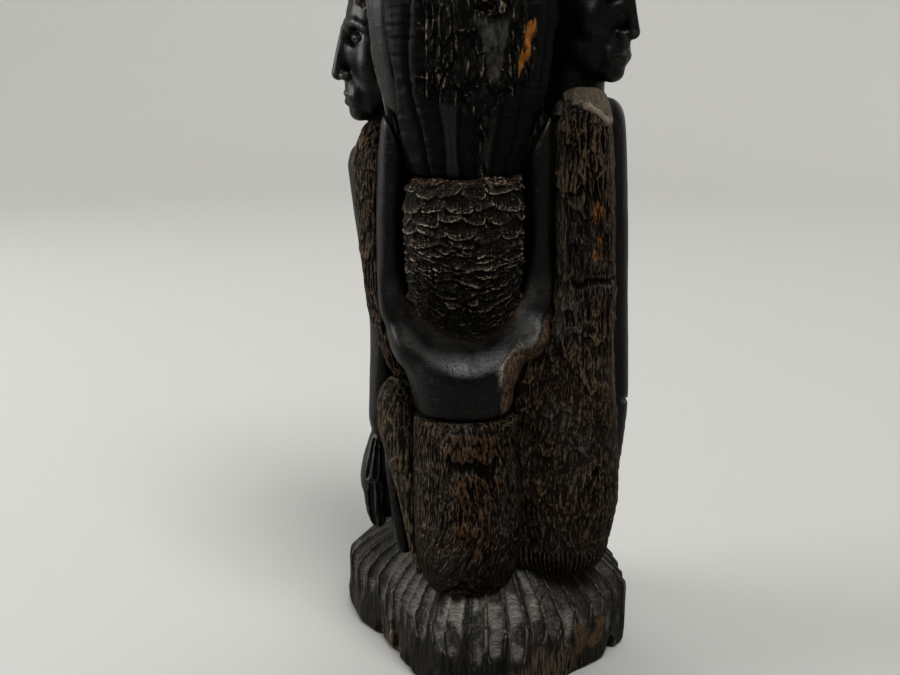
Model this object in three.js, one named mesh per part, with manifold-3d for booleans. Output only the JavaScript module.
// A family-tree ancestor carving: one ebony log cut into a gouged mound, a bearer with raised arms,
// three robed elders standing round the trunk, and the bearded head of an ancestor on top.
// Millimetres, +Z up. The origin is on the ground under the middle of the log, and -Y is the bearer's side.
// "Left" and "right" are the viewer's, looking along +Y.
import * as THREE from "three";
import { mergeVertices } from "three/addons/utils/BufferGeometryUtils.js";
import Module from "manifold-3d";

const wasm = await Module();
wasm.setup();

// Driving dimensions.
const LOG_HALF = 38; // half of the log's width, left to right
const LOG_DEPTH_HALF = 36.5; // half of its depth, front to back
const RIM_Z = 17.5; // top of the mound's upright edge
const MOUND_Z = 27.5; // top of the mound, where the figures stand
const WAIST_Z = 68.5; // top of the bearer's wrapped skirt
const NAPE_Z = 89.5; // lowest point of the bearer's hair
const CROWN_Z = 127; // top of the bearer's hair, where the beard rests
const HANDS_Z = 143; // top of the bearer's raised arms
const SHOULDER_Z = 146; // top of the elders' robes
const CHIN_Z = 162; // underside of the ancestor's jaw
const TOP_Z = 240; // top of the ancestor's cap of hair
const BEARER_X = -5.5; // the bearer stands a little left of the middle
const FACE_X = -2.4; // middle of the ancestor's face
const GAP = 0.3; // clearance between neighbouring solids

// Facet counts.
const BODY_SIDES = 16;
const LIMB_SIDES = 10;
const CAP_RINGS = 2;

// A closed skin over equal rings of points, with a fan over each end.
function skin(rings) {
  const sides = rings[0].length;
  const points = rings.flat();
  const index = [];
  for (let r = 0; r + 1 < rings.length; r++)
    for (let i = 0; i < sides; i++) {
      const a = r * sides + i;
      const b = r * sides + ((i + 1) % sides);
      index.push(a, b, b + sides, a, b + sides, a + sides);
    }
  for (const [ring, up] of [[0, false], [rings.length - 1, true]]) {
    const centre = rings[ring].reduce((sum, p) => sum.add(p), new THREE.Vector3());
    points.push(centre.divideScalar(sides));
    for (let i = 0; i < sides; i++) {
      const a = ring * sides + i;
      const b = ring * sides + ((i + 1) % sides);
      index.push(points.length - 1, up ? a : b, up ? b : a);
    }
  }
  return new THREE.BufferGeometry().setFromPoints(points).setIndex(index);
}

// A smooth curve through the named values of each key.
function curveThrough(keys, names) {
  const vector = (key) => new THREE.Vector3(...names.map((name) => key[name]));
  return new THREE.CatmullRomCurve3(keys.map(vector), false, "catmullrom", 0.4);
}

function evenSteps(keys, names, steps) {
  const curve = curveThrough(keys, names);
  return Array.from({ length: steps + 1 }, (_, i) => curve.getPoint(i / steps));
}

const bend = (value, power) => Math.sign(value) * Math.abs(value) ** (2 / power);

// A body of level rings: each key has its height z, its centre x and y, and its half-widths a along X and
// b along Y. A power over 2 squares the rings off.
function body(keys, { steps = 2 * (keys.length - 1), sides = BODY_SIDES, power = 2.4 } = {}) {
  const centres = evenSteps(keys, ["x", "y", "z"], steps);
  const halves = evenSteps(keys, ["a", "b"], steps);
  const ring = (c, half) =>
    Array.from({ length: sides }, (_, i) => {
      const turn = (2 * Math.PI * (i + 0.5)) / sides;
      const x = c.x + half.x * bend(Math.cos(turn), power);
      const y = c.y + half.y * bend(Math.sin(turn), power);
      return new THREE.Vector3(x, y, c.z);
    });
  return skin(centres.map((c, i) => ring(c, halves[i])));
}

// A limb with round ends: each key has a point x, y, z and two radii, u across the limb and v front to back.
function limb(keys, { steps = 2 * (keys.length - 1), sides = LIMB_SIDES } = {}) {
  const curve = curveThrough(keys, ["x", "y", "z"]);
  const radii = evenSteps(keys, ["u", "v"], steps);
  const front = new THREE.Vector3(0, 1, 0);
  const ring = (centre, along, u, v) => {
    const across = new THREE.Vector3().crossVectors(front, along).normalize();
    const deep = new THREE.Vector3().crossVectors(along, across);
    return Array.from({ length: sides }, (_, i) => {
      const turn = (2 * Math.PI * (i + 0.5)) / sides;
      const point = centre.clone().addScaledVector(across, u * Math.cos(turn));
      return point.addScaledVector(deep, v * Math.sin(turn));
    });
  };
  const rings = [];
  for (let i = -CAP_RINGS; i <= steps + CAP_RINGS; i++) {
    const past = Math.max(0, -i, i - steps) / (CAP_RINGS + 0.4); // 0 along the limb, up to 1 at the tip
    const at = Math.min(Math.max(i, 0), steps);
    const along = curve.getTangent(at / steps);
    const { x: u, y: v } = radii[at];
    const tip = Math.sin((past * Math.PI) / 2) * Math.min(u, v) * Math.sign(i - at);
    const shrink = Math.cos((past * Math.PI) / 2);
    const centre = curve.getPoint(at / steps).addScaledVector(along, tip);
    rings.push(ring(centre, along, u * shrink, v * shrink));
  }
  return skin(rings);
}

function ball(x, y, z, a, b, c, { across = 16, down = 10 } = {}) {
  const sphere = new THREE.SphereGeometry(1, across, down).rotateX(Math.PI / 2);
  return sphere.scale(a, b, c).translate(x, y, z);
}

function solid(geometry) {
  const plain = geometry.clone().deleteAttribute("normal").deleteAttribute("uv");
  const merged = mergeVertices(plain, 1e-4);
  return new wasm.Manifold(
    new wasm.Mesh({
      numProp: 3,
      vertProperties: new Float32Array(merged.attributes.position.array),
      triVerts: new Uint32Array(merged.index.array),
    }),
  );
}

function geometryOf(manifold) {
  const mesh = manifold.getMesh();
  return new THREE.BufferGeometry()
    .setAttribute("position", new THREE.BufferAttribute(new Float32Array(mesh.vertProperties), 3))
    .setIndex(new THREE.BufferAttribute(new Uint32Array(mesh.triVerts), 1));
}

// The solid moved outwards by the clearance, to cut its neighbours with.
function grown(manifold) {
  const geometry = geometryOf(manifold);
  geometry.computeVertexNormals();
  const { position, normal } = geometry.attributes;
  for (let i = 0; i < position.count; i++)
    position.setXYZ(
      i,
      position.getX(i) + GAP * normal.getX(i),
      position.getY(i) + GAP * normal.getY(i),
      position.getZ(i) + GAP * normal.getZ(i),
    );
  return solid(geometry);
}

const largest = (manifold) =>
  manifold.decompose().reduce((best, piece) => (piece.volume() > best.volume() ? piece : best));

const joined = (...geometries) => geometries.map(solid).reduce((sum, piece) => sum.add(piece));

// The mound: the log's own uneven outline, upright to the rim and then sloping in to the figures' feet.
function base() {
  const outline = [
    [-LOG_HALF, 12], [-34, 0.5], [-27, -8.5], [-23.5, -16], [-18.5, -26], [-11, -33.5], [-2, -LOG_DEPTH_HALF],
    [9, -35], [20, -27.5], [30.5, -19], [LOG_HALF, -9], [37.5, 6], [33, 20], [24, 30], [9, LOG_DEPTH_HALF],
    [-9, 36], [-23, 31.5], [-33.5, 22.5],
  ];
  const ring = (z, scale) => outline.map(([x, y]) => new THREE.Vector3(x * scale, y * scale, z));
  return solid(
    skin([
      ring(0, 0.985),
      ring(2, 1),
      ring(RIM_Z, 1),
      ring(22.8, 0.87),
      ring(MOUND_Z, 0.68),
      ring(MOUND_Z + 0.6, 0.5),
    ]),
  );
}

// The uncut heart of the log that the figures stand against.
const trunkCore = () =>
  solid(
    body([
      { z: MOUND_Z + 1, x: 0, y: 3, a: 20, b: 13 },
      { z: 80, x: 1, y: 3, a: 17, b: 11 },
      { z: 120, x: 1, y: 3, a: 17, b: 11 },
      { z: 150, x: 0, y: 1, a: 15, b: 12 },
      { z: CHIN_Z - 1, x: -1, y: 0, a: 14, b: 12 },
    ], { steps: 5, sides: 16 }),
  );

const bearerSkirt = () =>
  solid(
    body([
      { z: 21, x: -3.5, y: -21, a: 5, b: 5 },
      { z: 23.5, x: -4.2, y: -20.5, a: 9.8, b: 9 },
      { z: 31, x: -4.4, y: -19, a: 13, b: 12.4 },
      { z: 42, x: -4.3, y: -18, a: 13.7, b: 13.2 },
      { z: 55, x: -4.8, y: -17, a: 13.4, b: 12.2 },
      { z: WAIST_Z, x: -5, y: -16.3, a: 13.1, b: 11.7 },
    ]),
  );

const bearerTorso = () =>
  solid(
    body([
      { z: WAIST_Z + GAP, x: BEARER_X, y: -16, a: 12.1, b: 10.8 },
      { z: 74, x: BEARER_X - 0.1, y: -16, a: 12.7, b: 11.6 },
      { z: 80, x: BEARER_X - 0.1, y: -15.6, a: 14.4, b: 12.4 },
      { z: 86, x: BEARER_X, y: -15, a: 17.6, b: 10.6 },
      { z: 92, x: BEARER_X + 0.5, y: -14.5, a: 20.2, b: 8 },
      { z: 97, x: BEARER_X + 0.9, y: -14.5, a: 20.6, b: 5.5 },
    ]),
  );

const bearerHead = () =>
  solid(
    body([
      { z: NAPE_Z, x: -4.6, y: -21.5, a: 3, b: 4 },
      { z: 92.5, x: -5, y: -21, a: 8.5, b: 7.5 },
      { z: 97.5, x: BEARER_X, y: -20.5, a: 12.6, b: 9.6 },
      { z: 108, x: BEARER_X - 0.3, y: -20.3, a: 13.7, b: 10.6 },
      { z: 119, x: BEARER_X - 0.3, y: -20, a: 13.8, b: 10.4 },
      { z: 124.5, x: BEARER_X - 0.2, y: -19.8, a: 13.5, b: 9.6 },
      { z: CROWN_Z, x: BEARER_X, y: -19.6, a: 12.4, b: 8.6 },
    ], { power: 3 }),
  );

const bearerArm = (keys) => solid(limb(keys));
const bearerLeftArm = () =>
  bearerArm([
    { x: -22, y: -15.5, z: 95, u: 3.9, v: 5 },
    { x: -23.1, y: -16, z: 103, u: 3.3, v: 4.8 },
    { x: -22.9, y: -17, z: 118, u: 3.3, v: 4.6 },
    { x: -22.4, y: -18.5, z: 132, u: 3.1, v: 4.2 },
    { x: -22.1, y: -20.5, z: HANDS_Z - 3, u: 2.4, v: 3.4 },
  ]);
const bearerRightArm = () =>
  bearerArm([
    { x: 12.2, y: -15.5, z: 95, u: 4.1, v: 5 },
    { x: 12.3, y: -16, z: 103, u: 3.8, v: 4.8 },
    { x: 12, y: -17, z: 118, u: 3.6, v: 4.6 },
    { x: 11.6, y: -18.5, z: 132, u: 3.4, v: 4.2 },
    { x: 11.4, y: -20.5, z: HANDS_Z - 3, u: 2.6, v: 3.4 },
  ]);

// The beard widens from the bearer's crown up to the ancestor's cheeks.
const ancestorBeard = () =>
  solid(
    body([
      { z: CROWN_Z + GAP, x: -5.7, y: -18, a: 12.2, b: 9 },
      { z: 135, x: -5.7, y: -18, a: 15.4, b: 11.6 },
      { z: 144.5, x: -5.6, y: -18, a: 18.2, b: 13.6 },
      { z: 155, x: -6, y: -18, a: 20.2, b: 14.8 },
      { z: 165, x: -6.1, y: -18, a: 21, b: 15.4 },
      { z: 171, x: -5.4, y: -17, a: 19.4, b: 12.6 },
      { z: 175, x: -4.6, y: -15, a: 15.5, b: 8 },
    ]),
  );

const ancestorHead = () =>
  joined(
    body([
      { z: CHIN_Z, x: -3, y: 0, a: 14, b: 12 },
      { z: 169, x: -3, y: -2, a: 19.5, b: 21 },
      { z: 180, x: -2.5, y: -2, a: 22.5, b: 26 },
      { z: 196, x: -2, y: -0.5, a: 24.6, b: 28 },
      { z: 210, x: -1.6, y: 0.5, a: 24.6, b: 28.5 },
      { z: 224, x: -1.3, y: 1, a: 21.6, b: 25 },
      { z: 233, x: -1, y: 2, a: 14, b: 17 },
    ], { power: 2.1 }),
    limb([
      { x: FACE_X, y: -26.5, z: 204, u: 2.6, v: 3 },
      { x: FACE_X, y: -29.6, z: 193, u: 3.2, v: 3.6 },
      { x: FACE_X, y: -31.4, z: 186, u: 4.8, v: 3.6 },
    ], { steps: 3 }),
    ball(FACE_X, -26.6, 177, 8, 3.6, 2.6, { across: 12, down: 7 }),
  );

const ancestorEar = (side) => () =>
  solid(ball(FACE_X + side * 25, 4, 192, 3.2, 6, 9.5, { across: 12, down: 9 }));

// The cap of hair, a thick shell over the skull from the brow back to the nape.
const ancestorHair = () => {
  const cap = solid(
    body([
      { z: 184, x: -1, y: 17, a: 19, b: 13 },
      { z: 196, x: -1, y: 12, a: 25, b: 21 },
      { z: 208, x: -1, y: 5, a: 27, b: 28 },
      { z: 220, x: -0.8, y: 2, a: 26.4, b: 29 },
      { z: 231, x: -0.6, y: 2, a: 20.5, b: 23 },
      { z: 237.6, x: -0.5, y: 2.5, a: 12, b: 14 },
      { z: TOP_Z, x: -0.5, y: 2.5, a: 5, b: 6 },
    ], { power: 2.1 }),
  );
  const brow = new THREE.BoxGeometry(80, 40, 60).rotateX(-0.62).translate(0, -36, 188);
  return cap.subtract(solid(brow));
};

const rightElderRobe = () =>
  solid(
    body([
      { z: 26, x: 19.6, y: -13, a: 7.6, b: 9 },
      { z: 31, x: 20.2, y: -12, a: 10.8, b: 13.2 },
      { z: 45, x: 20.9, y: -11.5, a: 12.7, b: 15 },
      { z: 66, x: 21.1, y: -11, a: 12, b: 14.6 },
      { z: 86, x: 23, y: -10.5, a: 9.6, b: 13.6 },
      { z: 100, x: 24, y: -10, a: 8.5, b: 13.6 },
      { z: 122, x: 23, y: -9, a: 8.6, b: 13.6 },
      { z: 137, x: 22.6, y: -8, a: 8, b: 13.2 },
      { z: 143, x: 23, y: -7.5, a: 6.5, b: 11 },
      { z: SHOULDER_Z, x: 23.5, y: -7, a: 4.2, b: 7.6 },
    ], { power: 2.8 }),
  );

const rightElderArm = () =>
  solid(
    limb([
      { x: 29.6, y: 3, z: 139, u: 4.7, v: 6.6 },
      { x: 30.5, y: 3, z: 128, u: 4.8, v: 6.6 },
      { x: 31.6, y: 3, z: 112, u: 4.6, v: 6 },
      { x: 32.5, y: 3, z: 92, u: 4.5, v: 5.6 },
      { x: 33.6, y: 3, z: 73, u: 4.3, v: 5.6 },
      { x: 33.8, y: 2, z: 62, u: 4.1, v: 5.4 },
      { x: 33.4, y: 0, z: 46, u: 2.8, v: 3.6 },
    ]),
  );

const elderHead = ({ x, y, z, turn, wide, deep, tall }) => {
  // Made facing -Y round its own middle, then turned and moved.
  const skull = ball(0, 0, 0, wide, deep, tall);
  const feature = (back, up, w, d, t, grid) =>
    ball(0, back * deep, up * tall, w * wide, d * deep, t * tall, grid);
  const jaw = feature(-0.3, -0.56, 0.7, 0.6, 0.42, { across: 12, down: 8 });
  const nose = feature(-0.96, -0.14, 0.2, 0.17, 0.2, { across: 8, down: 6 });
  const lips = feature(-0.9, -0.5, 0.34, 0.12, 0.1, { across: 10, down: 5 });
  return joined(skull, jaw, nose, lips)
    .rotate([0, 0, turn])
    .translate([x, y, z]);
};

const rightElderHead = () => elderHead({ x: 22.6, y: -4, z: 167, turn: 50, wide: 11.5, deep: 12, tall: 20 });
const leftElderHead = () =>
  elderHead({ x: -23.6, y: 1, z: 157.5, turn: -78, wide: 11.5, deep: 11, tall: 20 });
const rearElderHead = () => elderHead({ x: 0, y: 21, z: 159, turn: 180, wide: 12.5, deep: 12.5, tall: 21 });

const leftElderRobe = () =>
  solid(
    body([
      { z: 74, x: -20.2, y: -7, a: 1.8, b: 5 },
      { z: 80, x: -21.6, y: -6.5, a: 4, b: 7.5 },
      { z: 92, x: -23, y: -6, a: 6.3, b: 9.5 },
      { z: 107, x: -24, y: -5.5, a: 7, b: 10 },
      { z: 125, x: -24.9, y: -5, a: 7.4, b: 10 },
      { z: 133, x: -25.2, y: -4.5, a: 6.2, b: 9 },
      { z: 138, x: -25.4, y: -4, a: 4, b: 6.5 },
    ]),
  );

const leftElderArm = () =>
  solid(
    limb([
      { x: -29.2, y: 5, z: 127.4, u: 5.7, v: 6.8 },
      { x: -28.5, y: 5, z: 115, u: 5, v: 6.6 },
      { x: -27.1, y: 5, z: 101, u: 4.6, v: 6.2 },
      { x: -25.7, y: 4.5, z: 86, u: 4.2, v: 6 },
      { x: -25.9, y: 3, z: 72, u: 4.3, v: 6.2 },
      { x: -26.7, y: 1.5, z: 60, u: 3.8, v: 5.4 },
    ]),
  );

// The hand hangs from the wrist: a palm, and four fingers side by side from front to back.
const leftElderHand = () => {
  const palm = body([
    { z: 41, x: -28.8, y: 1, a: 4, b: 7 },
    { z: 47, x: -28.9, y: 1, a: 3.9, b: 6.8 },
    { z: 52, x: -27.8, y: 1.2, a: 3.5, b: 5.8 },
    { z: 56, x: -26.9, y: 1.4, a: 3.2, b: 4.8 },
  ], { sides: 12, steps: 4 });
  const finger = (i) => {
    const y = 1 + (i - 1.5) * 3.5;
    const tipZ = 31 + 1.2 * Math.abs(i - 1.3);
    return limb([
      { x: -29, y, z: 44, u: 2.6, v: 1.9 },
      { x: -29.4, y: y * 1.05, z: 38, u: 2.5, v: 1.85 },
      { x: -28, y: y * 1.02, z: tipZ, u: 2, v: 1.6 },
    ], { steps: 3, sides: 8 });
  };
  return joined(palm, ...[0, 1, 2, 3].map(finger));
};

// The wrapped thigh bends at the knee and comes down beside the bearer's skirt, with the bare shin behind it.
const leftElderLeg = () =>
  solid(
    body([
      { z: 24.5, x: -14.5, y: -15, a: 3.6, b: 5.5 },
      { z: 31, x: -14.8, y: -14, a: 4.6, b: 7.4 },
      { z: 43, x: -16.6, y: -12.5, a: 5.2, b: 8 },
      { z: 54, x: -18.9, y: -11, a: 5.9, b: 8.4 },
      { z: 63, x: -20.6, y: -10.5, a: 6.6, b: 8.2 },
      { z: 71, x: -21.2, y: -10, a: 5.7, b: 6.8 },
      { z: 76, x: -20.4, y: -9.5, a: 2.8, b: 3.8 },
    ]),
  );

const leftElderShin = () =>
  solid(
    limb([
      { x: -20.8, y: -9, z: 28, u: 2.3, v: 3 },
      { x: -22.6, y: -8, z: 38, u: 2.1, v: 2.8 },
      { x: -24.6, y: -6.5, z: 49, u: 1.6, v: 2.2 },
      { x: -26.2, y: -5.5, z: 56.5, u: 1, v: 1.4 },
    ]),
  );

const rearElderRobe = () =>
  solid(
    body([
      { z: 26, x: 0, y: 17, a: 13, b: 10 },
      { z: 31, x: 0, y: 17, a: 18.5, b: 13.6 },
      { z: 48, x: 0, y: 17, a: 20, b: 15 },
      { z: 62, x: 0, y: 17.5, a: 19.5, b: 16 },
      { z: 74, x: 0, y: 17, a: 18, b: 14.8 },
      { z: 92, x: 0, y: 16.5, a: 16.4, b: 13.6 },
      { z: 118, x: 0, y: 16, a: 17, b: 13.4 },
      { z: 132, x: 0, y: 16, a: 15.6, b: 12.2 },
      { z: 138, x: 0, y: 16.5, a: 11, b: 9.5 },
    ]),
  );

// Each arm comes down from the shoulder and turns in at the elbow to rest on the belly.
const rearElderArm = (side) => () =>
  solid(
    limb([
      { x: side * 16.5, y: 20, z: 129, u: 4.8, v: 5.6 },
      { x: side * 19, y: 21, z: 116, u: 4.6, v: 5.4 },
      { x: side * 19.6, y: 22.5, z: 100, u: 4.3, v: 5 },
      { x: side * 16, y: 27.5, z: 88, u: 4.2, v: 4.2 },
      { x: side * 9.5, y: 31, z: 86, u: 3.7, v: 3.4 },
      { x: side * 4.6, y: 32, z: 90, u: 3.4, v: 2.8 },
    ], { steps: 9 }),
  );

const rearElderFoot = (side) => () =>
  solid(
    limb([
      { x: side * 8, y: 22, z: 30.5, u: 3.6, v: 3.6 },
      { x: side * 8.4, y: 28, z: 27.4, u: 3.8, v: 2.8 },
      { x: side * 8.8, y: 31.6, z: 24.4, u: 3.6, v: 2.1 },
    ], { steps: 4, sides: 10 }),
  );

const POLISHED = { color: 0x15120f, roughness: 0.38, metalness: 0 };
const ROUGH = { color: 0x2c221b, roughness: 0.72, metalness: 0 };
const HAIR = { color: 0x1d1814, roughness: 0.66, metalness: 0 };

// In order of carving: each piece is cut back by the ones before it, so that none overlap.
const PIECES = [
  ["base", base, ROUGH],
  ["trunk_core", trunkCore, ROUGH],
  ["bearer_hair", bearerHead, HAIR],
  ["bearer_torso", bearerTorso, POLISHED],
  ["bearer_left_arm", bearerLeftArm, POLISHED],
  ["bearer_right_arm", bearerRightArm, POLISHED],
  ["bearer_skirt", bearerSkirt, ROUGH],
  ["ancestor_beard", ancestorBeard, POLISHED],
  ["ancestor_hair", ancestorHair, HAIR],
  ["ancestor_head", ancestorHead, POLISHED],
  ["ancestor_left_ear", ancestorEar(-1), POLISHED],
  ["ancestor_right_ear", ancestorEar(1), POLISHED],
  ["right_elder_head", rightElderHead, POLISHED],
  ["right_elder_arm", rightElderArm, POLISHED],
  ["right_elder_robe", rightElderRobe, ROUGH],
  ["left_elder_head", leftElderHead, POLISHED],
  ["left_elder_hand", leftElderHand, POLISHED],
  ["left_elder_arm", leftElderArm, POLISHED],
  ["left_elder_shin", leftElderShin, POLISHED],
  ["left_elder_robe", leftElderRobe, ROUGH],
  ["left_elder_leg", leftElderLeg, ROUGH],
  ["rear_elder_head", rearElderHead, POLISHED],
  ["rear_elder_left_arm", rearElderArm(-1), POLISHED],
  ["rear_elder_right_arm", rearElderArm(1), POLISHED],
  ["rear_elder_left_foot", rearElderFoot(-1), POLISHED],
  ["rear_elder_right_foot", rearElderFoot(1), POLISHED],
  ["rear_elder_robe", rearElderRobe, ROUGH],
];

const touches = (a, b) => {
  const [p, q] = [a.boundingBox(), b.boundingBox()];
  return [0, 1, 2].every((i) => p.min[i] <= q.max[i] + 1 && q.min[i] <= p.max[i] + 1);
};

const carving = new THREE.Group();
const cutters = [];
for (const [name, shape, finish] of PIECES) {
  const uncut = shape();
  let piece = uncut;
  for (const cutter of cutters) if (touches(piece, cutter)) piece = piece.subtract(cutter);
  cutters.push(grown(uncut));
  const mesh = new THREE.Mesh(geometryOf(largest(piece)), new THREE.MeshStandardMaterial(finish));
  mesh.name = name;
  carving.add(mesh);
}

export default carving;
